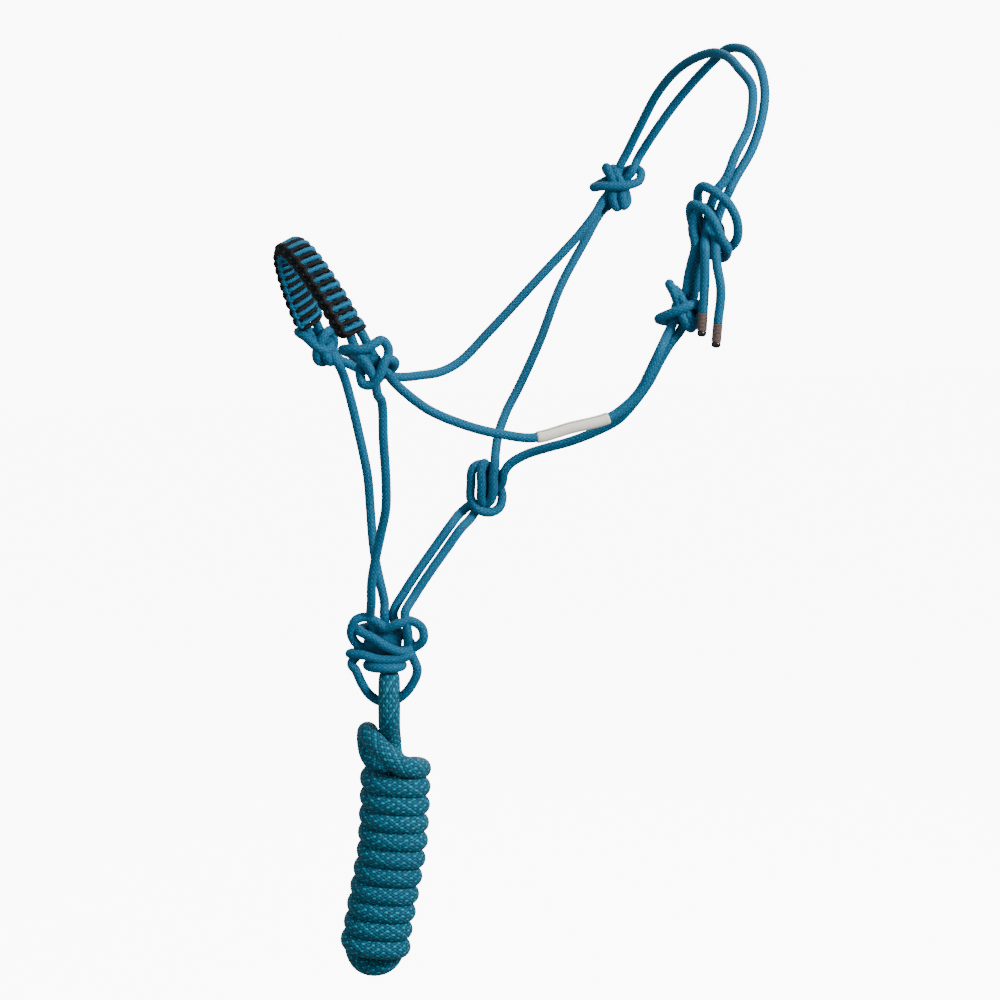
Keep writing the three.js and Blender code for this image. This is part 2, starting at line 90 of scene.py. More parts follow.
# ---------------------------------------------------------------- places on the head
def vec(x, y, z):
    return np.array([x, y, z], float)


ACROSS = vec(math.cos(KNOT_FACING), -math.sin(KNOT_FACING), 0)
UP = vec(0, 0, 1)
OUT = vec(-math.sin(KNOT_FACING), -math.cos(KNOT_FACING), 0)

RIGHT_CHEEK = MM * vec(-49, 80, -91)
TIE = MM * vec(-59, -80, -103)
LEFT_CHEEK = TIE + MM * vec(-19, 8, -59)
RIGHT_NOSE = MM * vec(-285, 37, -193)
LEFT_NOSE = MM * vec(-285, -37, -193)
THROAT = MM * vec(-185, 0, -286)
CHIN = MM * vec(-258, 0, -392)


def near(middle, rows):
    """Points on a knot's face: across it, up and out of it, from the knot's middle."""
    return [middle + MM * (u * ACROSS + v * UP + w * OUT) for u, v, w in rows]


def between(start, end, rows):
    """Points of a strand: the share of the way between two knots, then how far it bows."""
    return [start + share * (end - start) + MM * vec(x, y, z) for share, x, y, z in rows]


# ---------------------------------------------------------------- the noseband's arch
ARCH_LEAN = math.radians(26.57)
ARCH_RISE = 0.0537
ARCH_POWER = 1.6
ARCH_UP = vec(-math.sin(ARCH_LEAN), 0, math.cos(ARCH_LEAN))
ARCH_WIDE = vec(math.cos(ARCH_LEAN), 0, math.sin(ARCH_LEAN))
ARCH_FOOT = MM * vec(-285 - 14, 0, -193 + 23)   # ahead of the nose knots and above them
NOSE_HALF = 0.037
CORE_ASIDE = (ROPE_D + GAP) / 2


def arch_points(aside):
    """The arch over the nose, moved aside along its width."""
    points = []
    count = 12
    for i in range(count + 1):
        angle = math.pi * (0.5 - i / count)
        rise = ARCH_RISE * abs(math.cos(angle)) ** ARCH_POWER
        points.append(ARCH_FOOT + rise * ARCH_UP + aside * ARCH_WIDE
                      + vec(0, NOSE_HALF * math.sin(angle), 0))
    return points


# ---------------------------------------------------------------- the halter rope's route
def turned(direction, axis, angle):
    """A direction turned about an axis of unit length."""
    return (direction * math.cos(angle) + np.cross(axis, direction) * math.sin(angle)
            + axis * (axis @ direction) * (1 - math.cos(angle)))


LINK_TURN = math.radians(25)
LINK_APART = 0.0007             # half of the extra room between the two link strands
LINK_RUN = (CHIN - THROAT) / np.linalg.norm(CHIN - THROAT)
LINK_FLAT = ACROSS - LINK_RUN * (ACROSS @ LINK_RUN)
LINK_ASIDE = turned(LINK_FLAT / np.linalg.norm(LINK_FLAT), LINK_RUN, LINK_TURN) * (
    CORE_ASIDE + LINK_APART)
LINK_LINE = between(THROAT, CHIN, [
    (0.26, -4, 0, 2), (0.4, -5, 0, 3), (0.55, -6, 0, 4), (0.7, -6, 0, 5)])

WALK = [
    ("tail_front", near(TIE, [(-6, -63, 9), (-5.5, -53, 9), (-5, -42, 9), (-5, -31, 9)])),
    ("sheet_bend", near(TIE, [(-5, -23, 8), (-5, -17, 4), (-3, -9, -3), (-2, -1, -7), (0, 8, -6),
                              (3, 16, -3)])),
    ("crown_strand_front", between(TIE, RIGHT_CHEEK, [
        (0.02, 10, -3, 24), (0.03, 17, -4, 39), (0.08, 29, -6, 55), (0.14, 36, -7, 68),
        (0.22, 41, -8, 81), (0.35, 40, -10, 91), (0.47, 41, -10, 97), (0.57, 38, -10, 99),
        (0.68, 32, -9, 94), (0.79, 26, -8, 84), (0.88, 19, -7, 68), (0.96, 11, -5, 42),
        (0.99, 5, -1, 23)])),
    ("right_cheek_knot", near(RIGHT_CHEEK, [(1, 14, 0), (-1, 6, -2), (-5, -2, -2), (-11, -10, 0)])),
    ("right_cheek_strand", between(RIGHT_CHEEK, RIGHT_NOSE, [
        (0.09, 2, 1, -9), (0.15, 4, 2, -16), (0.31, 10, 7, -29), (0.52, 18, 8, -43),
        (0.64, 21, 8, -51), (0.71, 21, 7, -50), (0.77, 19, 5, -45), (0.83, 16, 4, -39),
        (0.89, 13, 3, -29), (0.93, 8, 2, -21)])),
    ("right_nose_knot", near(RIGHT_NOSE, [(14, -10, -6), (7, -6, -3), (3, 0, -4), (0, 5, -3),
                                          (-4, 11, -2), (-7, 18, 1)])),
    ("noseband_core_rear", arch_points(CORE_ASIDE)),
    ("left_nose_knot", near(LEFT_NOSE, [(-4, 18, 3), (0, 10, 1), (4, 2, -2), (8, -4, -3),
                                        (12, -8, -1)])),
    ("left_cheek_strand", between(LEFT_NOSE, LEFT_CHEEK, [
        (0.07, 2, 1, -16), (0.09, 4, 0, -23), (0.17, 5, 0, -39), (0.28, 9, -1, -54),
        (0.37, 10, -2, -62), (0.47, 10, -4, -68), (0.59, 10, -4, -66), (0.72, 9, -4, -64),
        (0.78, 8, -5, -58), (0.83, 6, -6, -50), (0.87, 4, -9, -36), (0.91, 2, -9, -24)])),
    ("left_cheek_knot", near(LEFT_CHEEK, [(-8, -19, -1), (-3, -9, -3), (1, 2, -3), (4, 10, 0)])),
    ("latch_loop_front_leg", near(LEFT_CHEEK, [(5, 17, 0), (7, 27, 0)])),
    ("sheet_bend", near(TIE, [(-11, -20, 1), (-13, -8, 2), (-10, 2, 2), (-4, 5, 0), (1, -1, -3),
                              (-1, -14, -6), (-5, -24, -7)])),
    ("latch_loop_rear_leg", near(LEFT_CHEEK, [(13, 27, -7), (11, 16, -6)])),
    ("left_cheek_knot", near(LEFT_CHEEK, [(9, 5, -4), (7, -2, -5), (4, -10, -6), (1, -17, -7)])),
    ("left_throat_strand", between(LEFT_CHEEK, THROAT, [
        (0.12, 8, -4, -11), (0.19, 10, -6, -13), (0.28, 14, -8, -16), (0.37, 16, -8, -19),
        (0.46, 18, -6, -20), (0.55, 17, -3, -17), (0.66, 14, 0, -11), (0.75, 9, 3, -5),
        (0.82, 5, 5, -1)])),
    ("throat_knot", near(THROAT, [(15, 15, -2), (11, 9, -1), (10, 3, -2), (6, -3, -4), (0, -9, -5),
                                  (-6, -14, -3), (-11, -21, 1)])),
    ("link_strand_rear", [point + LINK_ASIDE for point in LINK_LINE]),
    ("chin_knot", near(CHIN, [(12, 26, 3), (13, 19, 4), (14, 10, 3), (14, 1, -1), (17, -5, 0)])),
    ("chin_loop", near(CHIN, [(20, -13, 2), (17, -22, 1), (11, -30, 0), (3, -35, -1), (-5, -35, -1),
                              (-12, -30, 1), (-17, -22, 3)])),
    ("chin_knot", near(CHIN, [(-21, -13, 3), (-24, -9, 1), (-20, -4, -2), (-12, 4, -3), (-9, 14, 0),
                              (-11, 23, 2)])),
    ("left_chin_strand", between(CHIN, LEFT_NOSE, [
        (0.17, -8, 3, 0), (0.25, -7, 2, -1), (0.34, -3, 1, -1), (0.42, 1, -1, 0), (0.5, 4, -4, 0),
        (0.6, 5, -5, 0), (0.73, 5, -5, 1), (0.86, 6, -4, 0)])),
    ("left_nose_knot", near(LEFT_NOSE, [(6, -22, 1), (4, -11, 2), (-1, -3, 3), (-6, 3, 3), (-9, 10, 2),
                                        (-12, 18, 4)])),
    ("noseband_core_front", arch_points(-CORE_ASIDE)[::-1]),
    ("right_nose_knot", near(RIGHT_NOSE, [(-14, 18, 4), (-12, 11, 1), (-6, 5, -1), (1, -2, -1),
                                          (7, -9, 1)])),
    ("right_chin_strand", between(RIGHT_NOSE, CHIN, [
        (0.09, 9, 3, 0), (0.17, 11, 5, 1), (0.29, 13, 7, 0), (0.43, 13, 7, 1), (0.54, 10, 6, 0),
        (0.64, 7, 5, 0), (0.72, 5, 2, 0), (0.79, 4, -1, 1), (0.84, 4, -2, 0)])),
    ("chin_knot", near(CHIN, [(-2, 24, -1), (-1, 15, -4), (2, 10, -5), (5, 15, -5), (4, 25, -5)])),
    ("link_strand_front", [point - LINK_ASIDE for point in LINK_LINE][::-1]),
    ("throat_knot", near(THROAT, [(-18, -18, -3), (-10, -12, -3), (-4, -12, 0), (2, -9, 3), (4, -1, 5),
                                  (4, 7, 4), (5, 14, 2)])),
    ("right_throat_strand", between(THROAT, RIGHT_CHEEK, [
        (0.09, -4, -2, 4), (0.15, -7, 0, 4), (0.23, -7, 5, 2), (0.33, -5, 9, -1),
        (0.48, -3, 12, -1), (0.65, -4, 14, 0), (0.82, -1, 16, -3)])),
    ("right_cheek_knot", near(RIGHT_CHEEK, [(-11, -17, -6), (-5, -12, -7), (-2, -4, -5), (4, 4, -3),
                                            (10, 11, -1)])),
    ("crown_strand_rear", between(RIGHT_CHEEK, TIE, [
        (-0.01, 15, -3, 20), (0.04, 24, -5, 40), (0.1, 34, -7, 60), (0.17, 42, -9, 76),
        (0.22, 46, -9, 84), (0.27, 50, -10, 92), (0.38, 52, -10, 101), (0.47, 56, -11, 102),
        (0.58, 57, -11, 97), (0.7, 54, -10, 88), (0.8, 49, -9, 75), (0.88, 42, -6, 60),
        (0.94, 31, -5, 42), (0.98, 17, -2, 23)])),
    ("sheet_bend", near(TIE, [(11, 15, -5), (7, 6, -8), (4, -3, -8), (1, -12, -3), (2, -19, 5),
                              (2, -25, 9)])),
    ("tail_rear", near(TIE, [(3, -34, 11), (5, -45, 13), (5, -56, 13), (4, -64, 13), (3.5, -70, 13)])),
]

# The turns that lie around the strands in each knot, as rings on the knot's face
TURNS = {
    "right_cheek_knot": (RIGHT_CHEEK, [
        [(-7, 5, -8), (-15, 1, -4), (-17, 0, 1), (-11, 1, 5), (0, 1, 7), (8, 2, 6), (15, 5, 3),
         (16, 11, -1), (11, 13, -5), (3, 10, -8)],
        [(-3, 5, -9), (-8, 12, -5), (-8, 14, 1), (-5, 8, 3), (-2, 0, 2), (-4, -7, 3), (-1, -14, 1),
         (2, -11, -5), (1, -4, -9)]]),
    "left_cheek_knot": (LEFT_CHEEK, [
        [(4, -9, -9), (-7, -11, -6), (-14, -9, 0), (-9, -6, 4), (0, -2, 7), (8, 1, 5), (13, 0, 0),
         (12, -4, -5)],
        [(-1, 5, -9), (-6, 12, -5), (-7, 14, 1), (-4, 8, 3), (-1, 0, 2), (2, -8, 4), (7, -15, 1),
         (10, -11, -5), (7, -4, -9)]]),
    "left_nose_knot": (LEFT_NOSE, [
        [(-3, -2, -7), (-12, 4, -4), (-16, 7, 3), (-10, 8, 7), (-2, 8, 7), (4, 11, 5), (9, 13, 2),
         (13, 8, 1), (12, 0, 2), (6, -5, -4)],
        [(0, -6, -7), (-5, -5, -3), (-5, -9, 2), (-3, -15, 4), (3, -15, 5), (8, -8, 6), (12, 1, 4),
         (17, -1, 0), (16, -5, -4), (9, -8, -7)]]),
    "right_nose_knot": (RIGHT_NOSE, [
        [(-9, 11, -7), (-17, 12, -4), (-19, 12, 1), (-14, 9, 4), (-7, 3, 6), (-1, 0, 4), (2, 3, 0),
         (0, 8, -5)],
        [(3, -1, -7), (-2, -8, -4), (-6, -7, 1), (-7, -2, 4), (-4, 6, 5), (-1, 11, 4), (2, 13, 0),
         (4, 7, -4)]]),
    "throat_knot": (THROAT, [
        [(6, 9, -5), (0, 14, -3), (-6, 15, -1), (-10, 12, 1), (-11, 2, 2), (-11, -8, 2),
         (-6, -15, 3), (2, -17, 2), (8, -14, 0), (10, -7, -2), (8, 1, -5)],
        [(0, 0, -8), (-1, 11, -6), (-2, 16, -1), (-4, 12, 4), (-4, 1, 6), (-4, -8, 4),
         (-1, -13, -1), (0, -10, -6)]]),
    "chin_knot": (CHIN, [
        [(-2, -1, -5), (-13, 1, -3), (-20, 4, 0), (-24, 12, 2), (-21, 21, 3), (-14, 23, 2),
         (-7, 20, 3), (-1, 16, 4), (7, 19, 6), (15, 21, 4), (23, 16, 3), (24, 8, 3), (18, 2, 0),
         (8, -1, -4)],
        [(-2, 14, -7), (-14, 15, -4), (-19, 14, 3), (-10, 10, 6), (1, 3, 6), (10, 0, 4),
         (16, 3, -1), (10, 10, -6)],
        [(-2, -3, -7), (-17, -2, -5), (-25, -2, 1), (-17, -2, 5), (-5, -5, 6), (7, -5, 5),
         (16, -2, 2), (12, -1, -4)],
        [(-2, -9.5, -8), (-10, -9.5, -6), (-13.5, -10, 0), (-10, -10.5, 6), (-2, -10.5, 9.2),
         (6, -10.5, 7), (10, -10, 1), (7, -9.5, -6)]]),
    "sheet_bend": (TIE, [
        [(-7, -7, -11), (-9, 8, -9), (-9, 16, -4), (-6, 19, 2), (2, 15, 6), (10, 8, 7), (16, -4, 5),
         (16, -16, 1), (10, -22, -5), (1, -19, -10)],
        [(-9, -14, -11), (-14, 1, -6), (-13, 7, 1), (-5, 4, 7), (1, -4, 9), (5, -13, 8),
         (10, -22, 3), (8, -28, -5), (0, -26, -10)]]),
}

# Turns packed in between those, which the CAD leaves to the knot's heart
PACKED = {
    "right_cheek_knot": [(2, 5, -8), (-3, 12, -5), (-3, 13, 0), (0, 7, 2.5), (3, 0, 2), (3, -7, 3),
                         (4, -13, 1), (7, -10, -5), (6, -4, -8)],
    "left_cheek_knot": [(3, 4, -8), (-2, 9, -5), (-3, 10, 1), (0, 6, 3), (3, 0, 2.5), (6, -7, 3.5),
                        (10, -12, 1), (13, -8, -4), (10, -3, -8)],
    "left_nose_knot": [(-8, 2, -6), (-9, 5, 0), (-5, 3, 5), (0, -3, 6), (3, -9, 5), (5, -13, 2),
                       (8, -9, -4), (2, -3, -7)],
    "right_nose_knot": [(-9, 6, -6), (-11, 8, 0), (-7, 6, 4), (-3, 1, 4), (0, -5, 3), (2, -8, 0),
                        (4, -5, -5), (-1, 0, -7)],
}

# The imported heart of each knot: a middle on the knot's face and half sizes
HEARTS = {
    "right_cheek_knot": ((-1, 2, -1), (7, 7, 4)),
    "left_cheek_knot": ((1, -2, -2), (7, 7, 4)),
    "left_nose_knot": ((1, -1, -1), (8, 7, 4)),
    "right_nose_knot": ((-3, 4, -1), (8, 7, 4)),
    "throat_knot": ((0, 0, -2), (6, 10, 4)),
    "chin_knot": ((-3, 6, -1), (13, 10, 4)),
    "sheet_bend": ((2, -12, -3), (7, 10, 4)),
}


# ---------------------------------------------------------------- routes and meshes
class Route:
    """A smooth centreline with a frame that doesn't twist, read by the distance along it."""

    FINE = 16                   # samples between two points
    START_SIDE = vec(0.31, 0.52, 0.8)   # any direction that no route starts along

    def __init__(self, points, closed=False):
        self.closed = closed
        self.points = self.smooth([np.asarray(point) for point in points])
        steps = np.linalg.norm(np.diff(self.points, axis=0), axis=1)
        self.far = np.concatenate([[0], np.cumsum(steps)])
        self.length = self.far[-1]
        self.make_frames()

    def smooth(self, points):
        """Centripetal Catmull-Rom through the points."""
        if self.closed:
            ring = [points[-1]] + points + points[:2]
        else:
            ring = [2 * points[0] - points[1]] + points + [2 * points[-1] - points[-2]]
        made = []
        for i in range(1, len(ring) - 2):
            p0, p1, p2, p3 = ring[i - 1:i + 3]
            d0, d1, d2 = (np.linalg.norm(b - a) ** 0.5 for a, b in ((p0, p1), (p1, p2), (p2, p3)))
            m1 = ((p1 - p0) / d0 - (p2 - p0) / (d0 + d1) + (p2 - p1) / d1) * d1
            m2 = ((p2 - p1) / d1 - (p3 - p1) / (d1 + d2) + (p3 - p2) / d2) * d1
            for k in range(self.FINE):
                t = k / self.FINE
                made.append(p1 + m1 * t + (3 * (p2 - p1) - 2 * m1 - m2) * t ** 2
                            + (m1 + m2 - 2 * (p2 - p1)) * t ** 3)
        made.append(ring[-2])
        return np.array(made)

    def make_frames(self):
        """A tangent and a side direction at every sample."""
        tangents = np.gradient(self.points, axis=0)
        if self.closed:
            tangents[0] = tangents[-1] = self.points[1] - self.points[-2]
        tangents /= np.linalg.norm(tangents, axis=1)[:, None]
        side = np.cross(tangents[0], self.START_SIDE)
        sides = []
        for tangent in tangents:
            side = side - tangent * (side @ tangent)
            side = side / np.linalg.norm(side)
            sides.append(side)
        self.tangents, self.sides = tangents, np.array(sides)
        if self.closed:
            self.untwist()

    def untwist(self):
        """Spreads the frame's turn around a closed route, so its two ends match."""
        start, end, axis = self.sides[0], self.sides[-1], self.tangents[0]
        turn = math.atan2(np.cross(end, start) @ axis, end @ start)
        for i, share in enumerate(self.far / self.length):
            self.sides[i] = turned(self.sides[i], self.tangents[i], turn * share)

    def at_mark(self, mark):
        """The distance along the route at a point's number, which may be between two points."""
        return np.interp(mark * self.FINE, np.arange(len(self.far)), self.far)

    def outline(self):
        """Fewer of its points."""
        return np.concatenate([self.points[:-1:self.FINE // 2], self.points[-1:]])

    def read(self, far):
        """Centres and two side directions at distances along the route."""
        def column(values):
            return np.stack([np.interp(far, self.far, values[:, k]) for k in range(3)], axis=1)
        centres, tangents, sides = column(self.points), column(self.tangents), column(self.sides)
        tangents /= np.linalg.norm(tangents, axis=1)[:, None]
        sides -= tangents * np.sum(sides * tangents, axis=1)[:, None]
        sides /= np.linalg.norm(sides, axis=1)[:, None]
        return centres, sides, np.cross(tangents, sides)


class Skin:
    """Vertices, faces and UVs of one piece, gathered from several tubes."""

    def __init__(self):
        self.verts, self.faces, self.uvs, self.count = [], [], [], 0

    def grid(self, rings, around, along, closed):
        """Quads over rings of vertices, with u once around and v in metres along."""
        rows, sides, _ = rings.shape
        base = self.count
        self.verts.append(rings.reshape(-1, 3))
        self.count += rows * sides
        rows_used = rows if closed else rows - 1
        i, j = np.meshgrid(np.arange(rows_used), np.arange(sides), indexing="ij")
        i2, j2 = (i + 1) % rows, (j + 1) % sides
        quads = np.stack([i * sides + j, i * sides + j2, i2 * sides + j2, i2 * sides + j], axis=-1)
        self.faces.extend((quads.reshape(-1, 4) + base).tolist())
        u1, v1 = around[j], along[i]
        u2, v2 = around[j + 1], along[i + 1]
        corners = np.stack([np.stack([u1, v1], -1), np.stack([u2, v1], -1),
                            np.stack([u2, v2], -1), np.stack([u1, v2], -1)], axis=2)
        self.uvs.append(corners.reshape(-1, 2))
        if not closed:
            self.cap(base, rings[0], around, along[0], True)
            self.cap(base + (rows - 1) * sides, rings[-1], around, along[-1], False)

    def cap(self, first, ring, around, v, flip):
        """A fan of triangles that closes one end."""
        sides = len(ring)
        centre = self.count
        self.verts.append(ring.mean(axis=0)[None])
        self.count += 1
        uvs = []
        for j in range(sides):
            a, b = first + j, first + (j + 1) % sides
            self.faces.append([b, a, centre] if flip else [a, b, centre])
            uvs.extend([(around[j], v), (around[j + 1], v), (around[j], v)])
        self.uvs.append(np.array(uvs))

    def tube(self, route, start, end, diameter, sides, step, braid=None, shape=(1, 1)):
        """A round rope along part of a route, with the braid's cells standing out of it."""
        count = max(3, int(round((end - start) / step)))
        far = np.linspace(start, end, count + 1)
        centres, side, other = route.read(far)
        along = far.copy()
        if route.closed and braid:
            cell = braid[1]
            along *= max(1, round(route.length / cell)) * cell / route.length
        around = np.linspace(0, 1, sides + 1)
        u, v = np.meshgrid(around[:-1], along)
        radius = diameter / 2 * np.ones_like(u)
        if braid and braid[2]:
            radius *= 1 + braid[2] * (cells(u, v, braid) - CELL_MIDDLE)
        a = (radius * np.cos(2 * math.pi * u) * shape[0])[..., None]
        b = (radius * np.sin(2 * math.pi * u) * shape[1])[..., None]
        rings = centres[:, None] + a * side[:, None] + b * other[:, None]
        if route.closed:
            rings = rings[:-1]
        self.grid(rings, around, along, route.closed)

    def lathe(self, profile, place, sides):
        """A turned piece: rows of (radius, height) turned about the place's own Z."""
        profile = np.array(profile, float)
        around = np.linspace(0, 1, sides + 1)
        angle = 2 * math.pi * around[:-1]
        ring = np.stack([np.cos(angle), np.sin(angle)], axis=1)
        rings = np.zeros((len(profile), sides, 3))
        rings[..., :2] = profile[:, None, :1] * ring[None]
        rings[..., 2] = profile[:, 1:2]
        matrix = np.array(place)
        rings = rings @ matrix[:3, :3].T + matrix[:3, 3]
        self.grid(rings, around, profile[:, 1], False)

    def make(self, name, material, slot, body=None):
        """The finished piece, which rides on the body when one is given."""
        mesh = bpy.data.meshes.new(name)
        mesh.from_pydata(np.concatenate(self.verts).tolist(), [], self.faces)
        layer = mesh.uv_layers.new(name="along")
        layer.data.foreach_set("uv", np.concatenate(self.uvs).ravel())
        mesh.polygons.foreach_set("use_smooth", [True] * len(mesh.polygons))
        mesh.materials.append(material)
        mesh.update()
        piece = bpy.data.objects.new(name, mesh)
        bpy.context.scene.collection.objects.link(piece)
        if body:
            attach(piece, body)
        return piece


def cells(u, v, braid):
    """How far the braid stands out, 0 in its grooves and 1 on its cells."""
    count, pitch, _ = braid
    p = count * u + v / pitch
    q = count * u - v / pitch
    return np.sqrt(np.abs(np.sin(math.pi * p) * np.sin(math.pi * q)))


# ---------------------------------------------------------------- materials
class Paint:
    """A node material, built from short calls."""

    def __init__(self, name):
        self.material = bpy.data.materials.new(name)
        self.material.use_nodes = True
        self.tree = self.material.node_tree
        self.shader = self.tree.nodes["Principled BSDF"]

    def add(self, kind, *inputs, **settings):
        node = self.tree.nodes.new(kind)
        for key, value in settings.items():
            setattr(node, key, value)
        for socket, value in zip(node.inputs, inputs):
            self.give(socket, value)
        return node.outputs[0]

    def give(self, socket, value):
        if isinstance(value, bpy.types.NodeSocket):
            self.tree.links.new(value, socket)
        elif value is not None:
            socket.default_value = value

    def math(self, operation, *inputs):
        return self.add("ShaderNodeMath", *inputs, operation=operation)

    def mix(self, share, low, high):
        node = self.tree.nodes.new("ShaderNodeMix")
        node.data_type = "RGBA"
        self.give(node.inputs["Factor"], share)
        self.give(node.inputs["A"], low)
        self.give(node.inputs["B"], high)
        return node.outputs["Result"]

    def mix_value(self, share, low, high):
        node = self.tree.nodes.new("ShaderNodeMix")
        node.data_type = "FLOAT"
        self.give(node.inputs["Factor"], share)
        self.give(node.inputs["A"], low)
        self.give(node.inputs["B"], high)
        return node.outputs["Result"]

    def noise(self, scale, detail=2.0):
        place = self.tree.nodes.new("ShaderNodeTexCoord").outputs["Object"]
        node = self.tree.nodes.new("ShaderNodeTexNoise")
        self.give(node.inputs["Vector"], place)
        node.inputs["Scale"].default_value = scale
        node.inputs["Detail"].default_value = detail
        return node.outputs["Fac"]

    def uv(self):
        source = self.tree.nodes.new("ShaderNodeUVMap")
        source.uv_map = "along"
        parts = self.tree.nodes.new("ShaderNodeSeparateXYZ")
        self.give(parts.inputs[0], source.outputs[0])
        return parts.outputs[0], parts.outputs[1]

    def bump(self, height, distance, strength=1.0):
        node = self.tree.nodes.new("ShaderNodeBump")
        node.inputs["Strength"].default_value = strength
        node.inputs["Distance"].default_value = distance
        self.give(node.inputs["Height"], height)
        self.give(self.shader.inputs["Normal"], node.outputs[0])

    def finish(self, colour, roughness, sheen=0.0, specular=0.5):
        """Sets the surface, and gives the material."""
        self.give(self.shader.inputs["Base Color"], colour)
        self.give(self.shader.inputs["Roughness"], roughness)
        self.shader.inputs["Sheen Weight"].default_value = sheen
        self.shader.inputs["Specular IOR Level"].default_value = specular
        return self.material


def colour(r, g, b):
    """A shader colour from the 0 to 255 values that a screen shows."""
    def linear(value):
        value /= 255
        return value / 12.92 if value <= 0.04045 else ((value + 0.055) / 1.055) ** 2.4
    return (linear(r), linear(g), linear(b), 1)


DYE_SCALE = 38.0                # how fine the uneven dye is
FUZZ_SCALE = 1500.0             # how fine the yarn's fuzz is
YARN_LINES = 5.0                # yarn lines across one strand of the braid
YARN_DEPTH = 0.22
FUZZ_DEPTH = 0.25
SECOND_FLECKS = 0.35            # flecks on the second set of strands, against the first set's


def braided(name, braid, groove_painted_shade, first, second, flecks, fleck_share, bump, sheen=0.06):
    """Braided yarn: two sets of strands that cross, with yarn lines along each strand, and painted shade
    in the grooves between the cells.
    """
    count, pitch, _ = braid
    paint = Paint(name)
    u, v = paint.uv()
    across = paint.math("MULTIPLY", u, count)
    run = paint.math("DIVIDE", v, pitch)
    p = paint.math("ADD", across, run)
    q = paint.math("SUBTRACT", across, run)
    wave_p = paint.math("ABSOLUTE", paint.math("SINE", paint.math("MULTIPLY", p, math.pi)))
    wave_q = paint.math("ABSOLUTE", paint.math("SINE", paint.math("MULTIPLY", q, math.pi)))
    height = paint.math("POWER", paint.math("MULTIPLY", wave_p, wave_q), 0.5)
    floor_p, floor_q = paint.math("FLOOR", p), paint.math("FLOOR", q)
    over = paint.math("FLOORED_MODULO", paint.math("ADD", floor_p, floor_q), 2.0)
    odd_p = paint.math("FLOORED_MODULO", floor_p, 2.0)
    odd_q = paint.math("FLOORED_MODULO", floor_q, 3.0)
    fleck_p = paint.math("MULTIPLY", odd_p, fleck_share)
    fleck_q = paint.math("MULTIPLY", paint.math("COMPARE", odd_q, 1.0, 0.1), fleck_share * SECOND_FLECKS)
    top_p = paint.mix(fleck_p, first, flecks)
    top_q = paint.mix(fleck_q, second, flecks)
    top = paint.mix(over, top_p, top_q)
    dye = paint.add("ShaderNodeMapRange", paint.noise(DYE_SCALE), 0.3, 0.7, 0.0, 0.35)
    top = paint.mix(dye, top, second)
    yarn_line = paint.mix_value(over, paint.math("MULTIPLY", p, YARN_LINES),
                                paint.math("MULTIPLY", q, YARN_LINES))
    yarn = paint.math("ABSOLUTE", paint.math("SINE", paint.math("MULTIPLY", yarn_line, math.pi)))
    # painted shade: the colour darkens to the groove colour where the braid's cells sink into their
    # grooves
    shade = paint.add("ShaderNodeMapRange", height, 0.12, 0.62, 0.0, 1.0)
    base = paint.mix(shade, groove_painted_shade, top)
    fuzz = paint.noise(FUZZ_SCALE, 3.0)
    relief = paint.math("ADD", height, paint.math("MULTIPLY", yarn, YARN_DEPTH))
    relief = paint.math("ADD", relief, paint.math("MULTIPLY", fuzz, FUZZ_DEPTH))
    paint.bump(relief, bump)
    rough = paint.add("ShaderNodeMapRange", fuzz, 0.3, 0.7, 0.5, 0.72)
    return paint.finish(base, rough, sheen=sheen, specular=0.3)


LABEL_LINE = 0.16               # where the label's line runs, as a share around it
LABEL_LINE_HALF = 0.014         # half of the line's width, as the same share
THREAD_PITCH = 0.0009           # from one turn of whipping thread to the next


def label_paint():
    """Cream plastic sleeve with a thin grey line along its upper side, left blank."""
    paint = Paint("label_cream")
    u, _ = paint.uv()
    line = paint.math("COMPARE", u, LABEL_LINE, LABEL_LINE_HALF)
    stain = paint.add("ShaderNodeMapRange", paint.noise(120.0, 4.0), 0.35, 0.75, 0.0, 0.5)
    cream = paint.mix(stain, colour(250, 247, 230), colour(232, 229, 212))
    paint.bump(paint.noise(900.0, 3.0), 0.00008)
    rough = paint.add("ShaderNodeMapRange", paint.noise(300.0), 0.3, 0.7, 0.35, 0.55)
    return paint.finish(paint.mix(line, cream, colour(128, 130, 130)), rough)


def whipping_paint(name, thread_groove_shade, light):
    """Thread wound round and round, in tones between two colours: darker in the grooves between its
    turns as painted shade, with random tone along it.
    """
    paint = Paint(name)
    _, v = paint.uv()
    turns = paint.math("MULTIPLY", v, math.pi / THREAD_PITCH)
    wave = paint.math("ABSOLUTE", paint.math("SINE", turns))
    # painted shade: the colour goes to the first, dark colour in the grooves between turns; the noise
    # adds random tone on the ridges
    shade = paint.math("MULTIPLY", wave, paint.add(
        "ShaderNodeMapRange", paint.noise(500.0, 3.0), 0.25, 0.75, 0.45, 1.0))
    paint.bump(wave, 0.00015)
    rough = paint.add("ShaderNodeMapRange", paint.noise(900.0), 0.3, 0.7, 0.5, 0.8)
    return paint.finish(paint.mix(shade, thread_groove_shade, light), rough, sheen=0.1)


def melted_paint():
    """Rope melted to a glossy, uneven black."""
    paint = Paint("melted_black")
    spots = paint.add("ShaderNodeMapRange", paint.noise(700.0, 3.0), 0.4, 0.8, 0.0, 1.0)
    paint.bump(paint.noise(420.0, 3.0), 0.0005)
    rough = paint.add("ShaderNodeMapRange", paint.noise(260.0), 0.3, 0.7, 0.2, 0.5)
    return paint.finish(paint.mix(spots, colour(16, 14, 16), colour(44, 34, 32)), rough)


def floor_paint():
    """White that glows, so that it shows as brightly as the backdrop."""
    paint = Paint("studio_white")
    tone = paint.add("ShaderNodeMapRange", paint.noise(2.0), 0.3, 0.7, 0.0, 1.0)
    shade = paint.mix(tone, (0.86, 0.86, 0.86, 1), (0.88, 0.88, 0.88, 1))
    paint.shader.inputs["Emission Color"].default_value = (1, 1, 1, 1)
    paint.shader.inputs["Emission Strength"].default_value = FLOOR_GLOW
    return paint.finish(shade, 0.9, specular=0.1)
